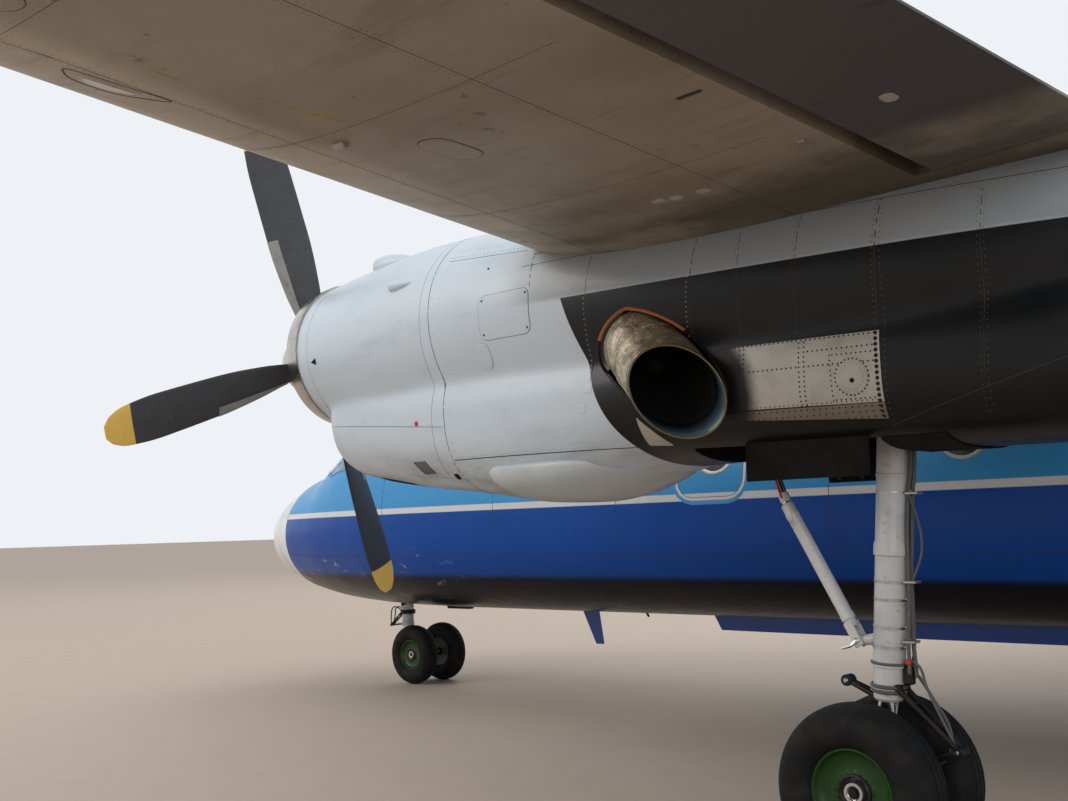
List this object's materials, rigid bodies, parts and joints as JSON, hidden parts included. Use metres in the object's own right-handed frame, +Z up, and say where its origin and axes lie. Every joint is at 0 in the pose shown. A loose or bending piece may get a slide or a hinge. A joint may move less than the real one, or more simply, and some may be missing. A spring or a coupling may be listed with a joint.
{
  "type": "turboprop airliner",
  "caption": "High-wing turboprop airliner parked on its gear, with turning propellers and wheels, steered nose gear, flaps, ailerons, elevators and a rudder.",
  "frame": {"origin": "on the ground under the middle of the aircraft's length and span", "axes": "+X towards the left wing tip, -Y towards the nose, +Z up"},
  "size_m": [29.2, 23.53, 8.32],
  "materials": {
    "body_paint": "gloss",
    "white_paint": "satin",
    "wing_paint": "satin",
    "radome": "satin",
    "glazing": "gloss",
    "polished_metal": "polished",
    "blade": "satin",
    "engine": "satin",
    "heated_steel": "satin",
    "leg_paint": "satin",
    "tyre": "matte",
    "wheel_paint": "satin"
  },
  "bodies": {
    "airframe": {"fuselage": "body_paint", "radome": "radome", "cockpit_glazing": "glazing", "passenger_door": "body_paint", "baggage_door": "body_paint", "belly_strake": "body_paint", "belly_antenna": "body_paint", "wing_centre_section": "wing_paint", "wing_outer_left": "wing_paint", "wing_outer_right": "wing_paint", "tailplane_left": "white_paint", "tailplane_right": "white_paint", "fin": "body_paint", "ventral_fin": "body_paint", "cowling_left": "white_paint", "cowling_right": "white_paint", "nacelle_left": "white_paint", "nacelle_right": "white_paint", "intake_ring_left": "polished_metal", "intake_ring_right": "polished_metal", "engine_left": "engine", "engine_right": "engine", "exhaust_pipe_left": "heated_steel", "exhaust_pipe_right": "heated_steel", "main_leg_left": "leg_paint", "main_leg_right": "leg_paint", "main_brace_left": "leg_paint", "main_brace_right": "leg_paint", "nose_leg": "leg_paint", "nose_brace": "leg_paint", "nose_door_left": "body_paint", "nose_door_right": "body_paint"},
    "propeller_left": {"propeller_left": "blade"},
    "propeller_right": {"propeller_right": "blade"},
    "nose_steering": {"nose_fork": "leg_paint"},
    "nose_wheels": {"nose_tyre_left": "tyre", "nose_tyre_right": "tyre", "nose_wheels": "wheel_paint"},
    "main_wheels_left": {"main_tyre_left_outer": "tyre", "main_tyre_left_inner": "tyre", "main_wheels_left": "wheel_paint"},
    "main_wheels_right": {"main_tyre_right_outer": "tyre", "main_tyre_right_inner": "tyre", "main_wheels_right": "wheel_paint"},
    "aileron_left": {"aileron_left": "wing_paint"},
    "aileron_right": {"aileron_right": "wing_paint"},
    "elevator_left": {"elevator_left": "white_paint"},
    "elevator_right": {"elevator_right": "white_paint"},
    "rudder": {"rudder": "body_paint"},
    "flap_inner_left": {"flap_inner_left": "wing_paint"},
    "flap_inner_right": {"flap_inner_right": "wing_paint"},
    "flap_outer_left": {"flap_outer_left": "wing_paint"},
    "flap_outer_right": {"flap_outer_right": "wing_paint"}
  },
  "joints": [
    {"name": "propeller_left_spin", "type": "hinge", "parent": "airframe", "child": "propeller_left", "pos_m": [3.95, -5.775, 3.153], "axis": [0, 1, 0], "continuous": true},
    {"name": "propeller_right_spin", "type": "hinge", "parent": "airframe", "child": "propeller_right", "pos_m": [-3.95, -5.775, 3.153], "axis": [0, 1, 0], "continuous": true},
    {"name": "nose_steer", "type": "hinge", "parent": "airframe", "child": "nose_steering", "pos_m": [0, -9.38, 0.7], "axis": [0, 0, 1], "range_deg": [-45, 45]},
    {"name": "nose_wheels_spin", "type": "hinge", "parent": "nose_steering", "child": "nose_wheels", "pos_m": [0, -9.015, 0.34], "axis": [1, 0, 0], "continuous": true},
    {"name": "main_wheels_left_spin", "type": "hinge", "parent": "airframe", "child": "main_wheels_left", "pos_m": [3.95, -1.125, 0.435], "axis": [1, 0, 0], "continuous": true},
    {"name": "main_wheels_right_spin", "type": "hinge", "parent": "airframe", "child": "main_wheels_right", "pos_m": [-3.95, -1.125, 0.435], "axis": [1, 0, 0], "continuous": true},
    {"name": "aileron_left", "type": "hinge", "parent": "airframe", "child": "aileron_left", "pos_m": [8.96, -0.4505, 3.48747], "axis": [0.9995, 0.0047, -0.0308], "range_deg": [-16, 24]},
    {"name": "aileron_right", "type": "hinge", "parent": "airframe", "child": "aileron_right", "pos_m": [-8.96, -0.4505, 3.48747], "axis": [0.9995, -0.0047, 0.0308], "range_deg": [-16, 24]},
    {"name": "elevator_left", "type": "hinge", "parent": "airframe", "child": "elevator_left", "pos_m": [0.72, 9.99383, 3.09234], "axis": [0.9875, 0.0206, 0.1564], "range_deg": [-15, 30]},
    {"name": "elevator_right", "type": "hinge", "parent": "airframe", "child": "elevator_right", "pos_m": [-0.72, 9.99383, 3.09234], "axis": [0.9875, -0.0206, -0.1564], "range_deg": [-15, 30]},
    {"name": "rudder", "type": "hinge", "parent": "airframe", "child": "rudder", "pos_m": [0, 10.37978, 3.42], "axis": [0, 0.1434, 0.9897], "range_deg": [-25, 25]},
    {"name": "flap_outer_left", "type": "hinge", "parent": "airframe", "child": "flap_outer_left", "pos_m": [4.64, -0.46937, 3.23046], "axis": [-1, -0.0035, 0.0003], "range_deg": [0, 38]},
    {"name": "flap_outer_right", "type": "hinge", "parent": "airframe", "child": "flap_outer_right", "pos_m": [-4.64, -0.46937, 3.23046], "axis": [-1, 0.0035, -0.0003], "range_deg": [0, 38]},
    {"name": "flap_inner_left", "type": "hinge", "parent": "airframe", "child": "flap_inner_left", "pos_m": [1.62, -0.46951, 3.23015], "axis": [-1, 0, 0], "range_deg": [0, 38]},
    {"name": "flap_inner_right", "type": "hinge", "parent": "airframe", "child": "flap_inner_right", "pos_m": [-1.62, -0.46951, 3.23015], "axis": [-1, 0, 0], "range_deg": [0, 38]}
  ],
  "couplings": [
    {"joint": "aileron_right", "follows": "aileron_left", "ratio": -0.66667},
    {"joint": "elevator_right", "follows": "elevator_left", "ratio": 1},
    {"joint": "flap_outer_right", "follows": "flap_outer_left", "ratio": 1},
    {"joint": "flap_inner_left", "follows": "flap_outer_left", "ratio": 1},
    {"joint": "flap_inner_right", "follows": "flap_outer_left", "ratio": 1}
  ]
}
